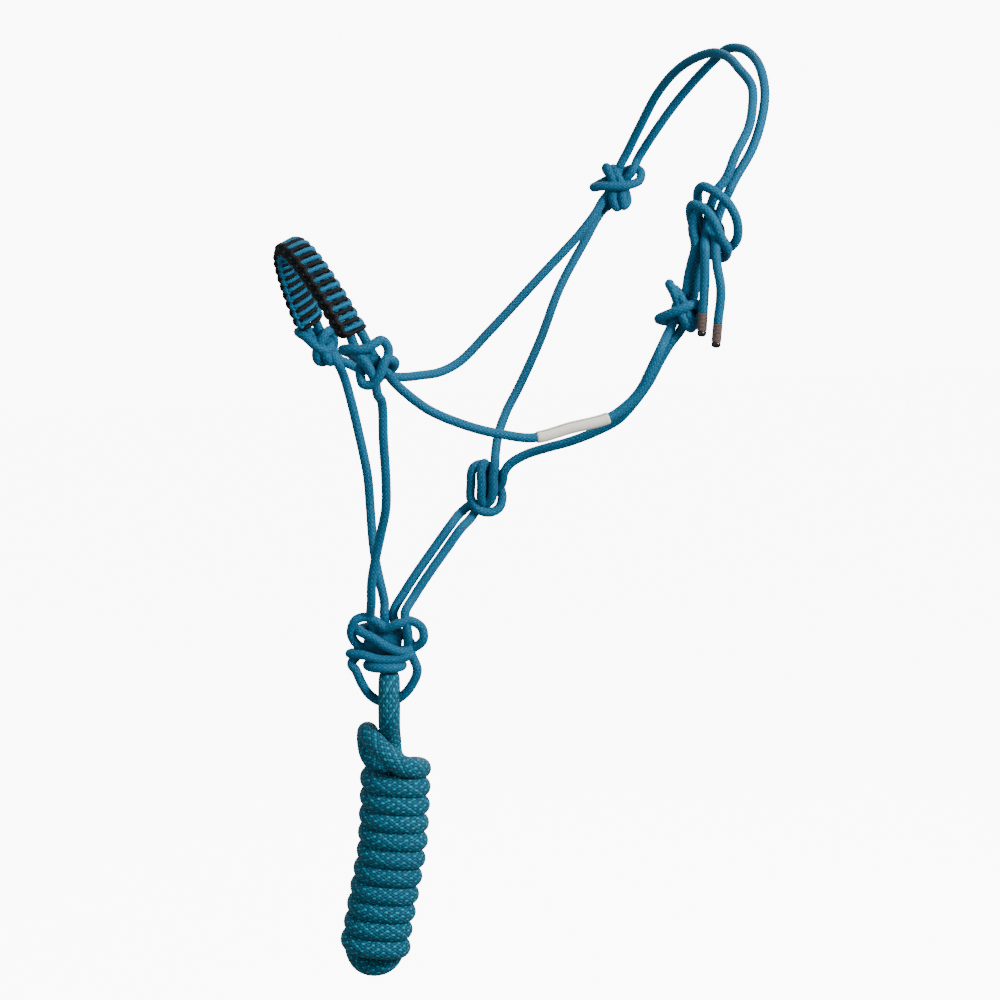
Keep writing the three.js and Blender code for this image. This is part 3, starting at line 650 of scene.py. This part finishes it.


# Each braid's first colour is painted shade for its grooves; the other three are the yarn's own colours.
ROPE_PAINT = braided("halter_braid", ROPE_BRAID, colour(0, 62, 94), colour(0, 114, 154),
                     colour(0, 102, 142), colour(0, 128, 166), 0.35, 0.0002)
LEAD_PAINT = braided("lead_braid", LEAD_BRAID, colour(0, 36, 56), colour(0, 108, 144),
                     colour(0, 86, 122), colour(0, 182, 194), 0.8, 0.0004)
TEAL_CORD = braided("weave_teal_cord", CORD_BRAID, colour(0, 70, 104), colour(0, 124, 168),
                    colour(0, 110, 152), colour(0, 140, 182), 0.4, 0.00015)
BLACK_CORD = braided("weave_black_cord", CORD_BRAID, colour(2, 1, 2), colour(14, 9, 12),
                     colour(9, 6, 8), colour(22, 16, 20), 0.4, 0.00015, sheen=0.0)
LABEL_PAINT = label_paint()
# The first colour is painted shade for the grooves between the thread's turns.
SLEEVE_PAINT = whipping_paint("tip_whipping", colour(52, 36, 34), colour(128, 104, 98))
MELTED_PAINT = melted_paint()


# ---------------------------------------------------------------- camera, light and floor
def make_camera():
    data = bpy.data.cameras.new("camera")
    data.lens = CAMERA_LENS
    data.sensor_width = SENSOR_WIDTH
    camera = bpy.data.objects.new("camera", data)
    forward = Vector(CAMERA_FORWARD).normalized()
    right = forward.cross(Vector((0, 0, 1))).normalized()
    up = right.cross(forward)
    camera.matrix_world = Matrix((right, up, -forward)).transposed().to_4x4()
    camera.location = CAMERA_PLACE
    bpy.context.scene.collection.objects.link(camera)
    bpy.context.scene.camera = camera


def make_light(name, place, target, size, power):
    data = bpy.data.lights.new(name, "AREA")
    data.size = size
    data.energy = power
    light = bpy.data.objects.new(name, data)
    light.location = place
    light.rotation_euler = (Vector(target) - Vector(place)).to_track_quat("-Z", "Y").to_euler()
    bpy.context.scene.collection.objects.link(light)


def make_studio():
    """Area lights, and a backdrop that is brighter to the camera than the light it lends."""
    for name, place, size, power in LIGHTS:
        make_light(name, place, LIT_MIDDLE, size, power)
    world = bpy.data.worlds.new("studio")
    world.use_nodes = True
    nodes, links = world.node_tree.nodes, world.node_tree.links
    seen = nodes.new("ShaderNodeLightPath").outputs["Is Camera Ray"]
    strength = nodes.new("ShaderNodeMapRange")
    strength.inputs["To Min"].default_value = WORLD_LIGHT
    strength.inputs["To Max"].default_value = BACKDROP_LIGHT
    links.new(seen, strength.inputs["Value"])
    links.new(strength.outputs[0], nodes["Background"].inputs["Strength"])
    nodes["Background"].inputs["Color"].default_value = (1, 1, 1, 1)
    bpy.context.scene.world = world


def make_floor():
    """A lit white floor, which shows as brightly as the backdrop and casts no light up."""
    corners = [(-FLOOR_REACH, -FLOOR_REACH), (FLOOR_REACH, -FLOOR_REACH),
               (FLOOR_REACH, FLOOR_REACH), (-FLOOR_REACH, FLOOR_REACH)]
    mesh = bpy.data.meshes.new("floor")
    mesh.from_pydata([(x, y, FLOOR_Z) for x, y in corners], [], [(0, 1, 2, 3)])
    mesh.materials.append(floor_paint())
    floor = bpy.data.objects.new("floor", mesh)
    bpy.context.scene.collection.objects.link(floor)
    floor.visible_diffuse = False
    floor.visible_glossy = False


make_camera()
make_studio()
make_floor()

# ---------------------------------------------------------------- the lead
LOOP_BOTTOM = near(CHIN, [(1, -35, -1)])[0]
EYE_CLEAR = 0.0008
EYE_LEG = (ROPE_D + LEAD_D) / 2 + EYE_CLEAR
EYE_TOP = 4.6                   # height of the middle of the eye's upper bend
STANDING_END = -31              # height where the single rope meets the hank
HANK_PITCH = 12.4               # millimetres from one wrap to the next
HANK_TURNS = 10.25
HANK_FIRST = -46                # height of the first wrap on the right side
HANK_HALF = (16.9, 14.3)        # half width and half depth of a wrap's centreline
WRAP_ROUND = 0.85               # 1 makes an ellipse, and less makes a wrap squarer
WRAP_POINTS = 16                # points in one wrap
HANK_HEIGHTS = [-187, -164, -133, -100, -66, -45]
HANK_PLACES = [-11, -10, -4.4, 1.6, 3.5, 4]     # the hank's middle at those heights
CORE_RUNS = [                   # down one core run, round the bottom, up the other and over
    (1, STANDING_END + 1, 0), (2, -37, -1), (6, -46, -4), (9, -66, -5), (7.5, -100, -5),
    (2, -133, -5), (-1, -158, -4), (2.5, -171, -2), (-1.5, -179.5, 0), (-10, -183, 1),
    (-19, -180.5, 1), (-24, -171, 0), (-19.5, -156, 2), (-9, -133, 4), (-3, -100, 4),
    (-2, -66, 3), (-7, -48, -2), (-14, -37, -8), (-15.5, -28, -9.5), (-15, -22.5, -5),
    (-14, -21, 3), (-11, -23.5, 10), (-5, -29, 15.5), (2, -35, 18), (9, -40, 16.5),
    (16, -43, 12)]


def lead_points(rows):
    """Points of the lead, in millimetres from the bottom of the chin loop."""
    return near(LOOP_BOTTOM, rows)


def eye_route():
    """Up one leg of the eye, over the chin loop, down the other leg and into the single rope."""
    leg = EYE_LEG / MM
    rows = [(0.4, -24, -2.2), (0, -15, -leg * 0.72), (0, -8, -leg)]
    for angle in range(180, -1, -30):
        turn = math.radians(angle)
        rows.append((0, EYE_TOP + leg * math.sin(turn), leg * math.cos(turn)))
    rows += [(0, -8, leg), (0, -15, leg * 0.62), (0.6, -22, 2.0), (1, -27, 0),
             (1, STANDING_END - 3, 0)]
    return Route(lead_points(rows))


def hank_middle(v):
    """Sideways place of the hank's middle at a height: it leans towards the nose lower down."""
    return float(np.interp(v, HANK_HEIGHTS, HANK_PLACES))


def wrap_row(turns):
    """A point of the wraps, a number of turns after the right shoulder."""
    angle = math.pi / 2 + 2 * math.pi * turns
    v = HANK_FIRST - HANK_PITCH * turns
    wide, deep = math.sin(angle), math.cos(angle)
    half_wide, half_deep = HANK_HALF
    u = half_wide * math.copysign(abs(wide) ** WRAP_ROUND, wide)
    w = half_deep * math.copysign(abs(deep) ** WRAP_ROUND, deep)
    return (hank_middle(v) + u, v, w)


def hank_rows():
    """The core runs, then the wraps around them, then the tucked end."""
    count = int(HANK_TURNS * WRAP_POINTS) + 1
    wraps = [wrap_row(i / WRAP_POINTS) for i in range(count)]
    return CORE_RUNS + wraps + tuck_rows(wraps[-1])


def tuck_rows(last):
    """The rope's end slips up under the wrap before the last, at the back."""
    u, v, w = last
    return [(u - 6, v + 1, w + 2), (u - 10, v + 5, w + 6), (u - 11, v + 11, w + 9)]


def make_lead():
    standing = eye_route()
    skin = Skin()
    skin.tube(standing, 0, standing.length, LEAD_D, LEAD_SIDES, LEAD_STEP, LEAD_BRAID)
    piece = skin.make("lead_rope_eye", LEAD_PAINT, "lead_rope", "lead_link")
    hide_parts("lead_eye")
    standing.outline()

    wound = Route(lead_points(hank_rows()))
    skin = Skin()
    skin.tube(wound, 0, wound.length, LEAD_D, LEAD_SIDES, LEAD_STEP, LEAD_BRAID)
    piece = skin.make("lead_rope_hank", LEAD_PAINT, "lead_rope", "lead_hank")
    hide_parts("lead_hank", "lead_top_bight")


make_lead()

# ---------------------------------------------------------------- the halter rope
ROPE = Route([point for _, points in WALK for point in points])


def stretches():
    """Each stretch's node and the distances along the rope where it starts and ends."""
    first = 0
    last_mark = sum(len(points) for _, points in WALK) - 1
    for number, (name, points) in enumerate(WALK):
        end = last_mark if number == len(WALK) - 1 else first + len(points)
        yield name, ROPE.at_mark(first), ROPE.at_mark(end)
        first += len(points)


def rope_tube(skin, route, start, end):
    skin.tube(route, start, end, ROPE_D, ROPE_SIDES, ROPE_STEP, ROPE_BRAID)


HEART_ROWS, HEART_SIDES = 12, 24
HEART_POLE = 0.02               # radius of a heart's end rows, as a share of its middle's


def heart(skin, name):
    """A rounded core inside a knot, which fills what shows between its turns."""
    middle, (place, half) = TURNS[name][0], HEARTS[name]
    centre = near(middle, [place])[0]
    rows = []
    for i in range(HEART_ROWS + 1):
        angle = math.pi * (i / HEART_ROWS - 0.5)
        rows.append((max(math.cos(angle), HEART_POLE), math.sin(angle)))
    basis = np.eye(4)
    for k, (axis, size) in enumerate(zip((ACROSS, UP, OUT), half)):
        basis[:3, k] = axis * size * MM
    basis[:3, 3] = centre
    skin.lathe(rows, basis, HEART_SIDES)


def make_rope():
    """Makes the strands and knots, and gives the stretches of the two tails."""
    knots = {name: Skin() for name in TURNS}
    tails = {}
    for name, start, end in stretches():
        if name in knots:
            rope_tube(knots[name], ROPE, start, end)
        elif name.startswith("tail"):
            tails[name] = (start, end)
        else:
            skin = Skin()
            rope_tube(skin, ROPE, start, end)
            piece = skin.make(name + "_rope", ROPE_PAINT, "halter_rope", "halter")
            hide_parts(name)
    for name, skin in knots.items():
        middle, rings = TURNS[name]
        packed = [PACKED[name]] if name in PACKED else []
        for rows in rings + packed:
            ring = Route(near(middle, rows), closed=True)
            rope_tube(skin, ring, 0, ring.length)
        heart(skin, name)
        piece = skin.make(name + "_turns", ROPE_PAINT, "halter_rope", "halter")
        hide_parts(name)
    return tails


# ---------------------------------------------------------------- tails and their tips
SLEEVE_LENGTH = 0.012
SLEEVE_ROWS = 78
THREAD_RIDGE = 0.00022
TIP_SIDES = 32
TAIL_SAMPLES = 40
TAIL_INSIDE = 0.006             # how much of a tail's rope starts inside the knot
TAIL_BEND = (0.003, 0.027)      # two distances along a tail, below the knot, where its points are read but not used


def tip_place(point, direction):
    """A frame at the tail's end, with Z along the rope."""
    turn = Vector((0, 0, 1)).rotation_difference(Vector(direction)).to_matrix().to_4x4()
    return Matrix.Translation(Vector(point)) @ turn


def sleeve_profile():
    """Whipping thread over the rope, one ridge for each of its turns."""
    rows = [(ROPE_D * 0.3, -0.0004)]
    for i in range(SLEEVE_ROWS + 1):
        far = SLEEVE_LENGTH * i / SLEEVE_ROWS
        ridge = abs(math.sin(math.pi * far / THREAD_PITCH))
        rows.append((ROPE_D / 2 - 0.0001 + THREAD_RIDGE * ridge, far))
    rows.append((ROPE_D * 0.3, SLEEVE_LENGTH + 0.0002))
    return rows


def melted_profile():
    """The rope's end, melted into a low uneven button."""
    return [(0.0018, 0.0100), (0.0024, 0.0119), (0.00285, 0.0125), (0.0031, 0.0134),
            (0.00295, 0.0145), (0.0025, 0.0153), (0.0017, 0.0158), (0.0007, 0.01595),
            (0.0001, 0.0160)]


def make_tail(name, body, start, end, at_start):
    """The rope of one tail, with its whipped sleeve and melted end."""
    tip = start if at_start else end
    root = end + TAIL_INSIDE if at_start else start - TAIL_INSIDE
    far = np.linspace(root, tip, TAIL_SAMPLES)
    path, _, _ = ROPE.read(far)
    line = Route(path[::3])
    skin = Skin()
    rope_tube(skin, line, 0, line.length)
    rope = skin.make(name + "_rope", ROPE_PAINT, "halter_rope")
    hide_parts(name)
    bend, _, _ = line.read(np.array(TAIL_BEND))
    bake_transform(rope)
    place = tip_place(line.points[-1], line.tangents[-1])
    skin = Skin()
    skin.lathe(sleeve_profile(), place, TIP_SIDES)
    sleeve = skin.make(name + "_whipping", SLEEVE_PAINT, "tip_sleeve", body)
    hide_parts(name + "_sleeve")
    skin = Skin()
    skin.lathe(melted_profile(), place, TIP_SIDES)
    melted = skin.make(name + "_melted", MELTED_PAINT, "melted_end", body)
    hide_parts(name + "_melted_end")


def make_tails(tails):
    make_tail("tail_front", "front_tail", *tails["tail_front"], True)
    make_tail("tail_rear", "rear_tail", *tails["tail_rear"], False)


# ---------------------------------------------------------------- the noseband's weave
WEAVE_PITCH = 0.00345           # from one bar to the next
WEAVE_INSET = 0.014             # share of the arch that stays bare at each end
BAR_D = 0.0030
BAR_LEAN = 0.0008               # how far a bar leans along the noseband
BAR_POINTS = 20
BAR_ROUND = (0.55, 0.75)        # 1 makes an ellipse, and less makes a bar squarer
TANGENT_STEP = 1e-4
WEAVE_PRESS = 0.0008            # how far the pulled cord lies inside the CAD's even cover
WEAVE_HALF = (ROPE_D + GAP / 2 + WEAVE_CLEAR + CORD_D / 2 - WEAVE_PRESS,
              ROPE_D / 2 + WEAVE_CLEAR + CORD_D / 2 - WEAVE_PRESS)
ARCH = Route(near(RIGHT_NOSE, [(-10.5, 18, 2.5)]) + arch_points(0)
             + near(LEFT_NOSE, [(-8, 18, 3.5)]))

# Loops along an edge: its side, how far in, how far off the nose, reach and thickness in bars
TEAL_OUTER_EDGES = [(1, 0, 0.0012, 0.0004, 1.0)]
TEAL_INNER_EDGES = [(1, 0, -0.0028, 0.0002, 0.9), (-1, 0, -0.0028, 0.0002, 0.9)]
BLACK_EDGES = [(-1, 0, 0.0016, 0.0004, 1.2), (-1, 0.0022, WEAVE_HALF[1], 0.0002, 1.15)]


def weave_point(far, wide, out):
    """A point beside the arch: along it, towards the animal's eyes, and off the nose."""
    centres, _, _ = ARCH.read(np.array([far]))
    ahead, _, _ = ARCH.read(np.array([min(far + TANGENT_STEP, ARCH.length)]))
    behind, _, _ = ARCH.read(np.array([max(far - TANGENT_STEP, 0)]))
    tangent = ahead[0] - behind[0]
    tangent /= np.linalg.norm(tangent)
    outward = np.cross(tangent, ARCH_WIDE)
    return centres[0] + wide * ARCH_WIDE + out * outward


def bar_route(far, lean):
    """One turn of cord around the noseband, a rounded oblong that leans along it."""
    half_wide, half_out = WEAVE_HALF
    round_wide, round_out = BAR_ROUND
    points = []
    for i in range(BAR_POINTS):
        angle = 2 * math.pi * i / BAR_POINTS
        c, s = math.cos(angle), math.sin(angle)
        wide = half_wide * math.copysign(abs(c) ** round_wide, c)
        out = half_out * math.copysign(abs(s) ** round_out, s)
        points.append(weave_point(far + lean * wide / half_wide, wide, out))
    return Route(points, closed=True)


def bump_route(far, wide, out, reach):
    """A short loop of cord along an edge, which dives under at both ends."""
    half = WEAVE_PITCH * 1.05
    side = math.copysign(1, wide)
    rows = [(-1, -1.6), (-0.6, -0.1), (0, 0.6), (0.6, -0.1), (1, -1.6)]
    points = [weave_point(far + share * half, wide + side * (reach + step * MM), out)
              for share, step in rows]
    return Route(points)


def make_weave():
    """Bars of two cords in turn around the noseband, with loops of cord along its edges."""
    teal_outer, black, teal_inner = Skin(), Skin(), Skin()
    edges = [(teal_outer, TEAL_OUTER_EDGES), (teal_inner, TEAL_INNER_EDGES), (black, BLACK_EDGES)]
    start, end = WEAVE_INSET * ARCH.length, (1 - WEAVE_INSET) * ARCH.length
    count = 2 * int((end - start) / WEAVE_PITCH / 2)
    for i in range(count + 1):
        far = start + (end - start) * i / count
        route = bar_route(far, BAR_LEAN)
        skin = teal_outer if i % 2 else black
        skin.tube(route, 0, route.length, BAR_D, CORD_SIDES, CORD_STEP, CORD_BRAID)
        if i % 2 == 0 or not 0 < i < count:
            continue
        for skin, rows in edges:
            for side, inward, out, reach, thick in rows:
                edge = bump_route(far, side * WEAVE_HALF[0] + inward, out, reach)
                skin.tube(edge, 0, edge.length, BAR_D * thick, CORD_SIDES, CORD_STEP, CORD_BRAID)
    piece = teal_outer.make("noseband_teal_cord", TEAL_CORD, "weave_teal", "halter")
    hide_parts("noseband_weave_outer")
    piece = black.make("noseband_black_cord", BLACK_CORD, "weave_black", "halter")
    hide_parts("noseband_weave_inner")
    teal_inner.make("noseband_teal_edges", TEAL_CORD, "weave_teal", "halter")


# ---------------------------------------------------------------- the label
LABEL_MARKS = (5.1, 7)          # where it starts and ends, as points of the strand's route
LABEL_WALL = 0.0007
LABEL_LIP = 0.0012              # length over which its ends roll in
LABEL_ROLL = 0.0005             # how far they roll in
LABEL_FLAT = (0.97, 1.04)       # its width and height against a round one
LABEL_ROWS, LABEL_SIDES = 60, 32


def make_label():
    """Cream sleeve shrunk on the left cheek strand, a little flat, with rolled ends."""
    first = 0
    for name, points in WALK:
        if name == "left_cheek_strand":
            break
        first += len(points)
    start, end = (ROPE.at_mark(first + mark) for mark in LABEL_MARKS)
    far = np.linspace(start, end, LABEL_ROWS)
    centres, side, other = ROPE.read(far)
    around = np.linspace(0, 1, LABEL_SIDES + 1)
    share = (far - start) / (end - start)
    lip = np.minimum(share, 1 - share) * (end - start)
    radius = ROPE_D / 2 + LABEL_WALL - LABEL_ROLL * np.clip(1 - lip / LABEL_LIP, 0, 1) ** 2
    rings = np.zeros((len(far), LABEL_SIDES, 3))
    wide, high = LABEL_FLAT
    for k, (centre, tube_side) in enumerate(zip(centres, side)):
        tangent = np.cross(tube_side, other[k])
        top = UP - tangent * (UP @ tangent)
        top /= np.linalg.norm(top)
        across = np.cross(tangent, top)
        angle = 2 * math.pi * around[:-1]
        rings[k] = centre + radius[k] * (np.cos(angle)[:, None] * across * wide
                                         + np.sin(angle)[:, None] * top * high)
    skin = Skin()
    skin.grid(rings, around, far, False)
    piece = skin.make("label_blank_sleeve", LABEL_PAINT, "label", "halter")
    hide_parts("label_sleeve")


make_tails(make_rope())
make_weave()
make_label()
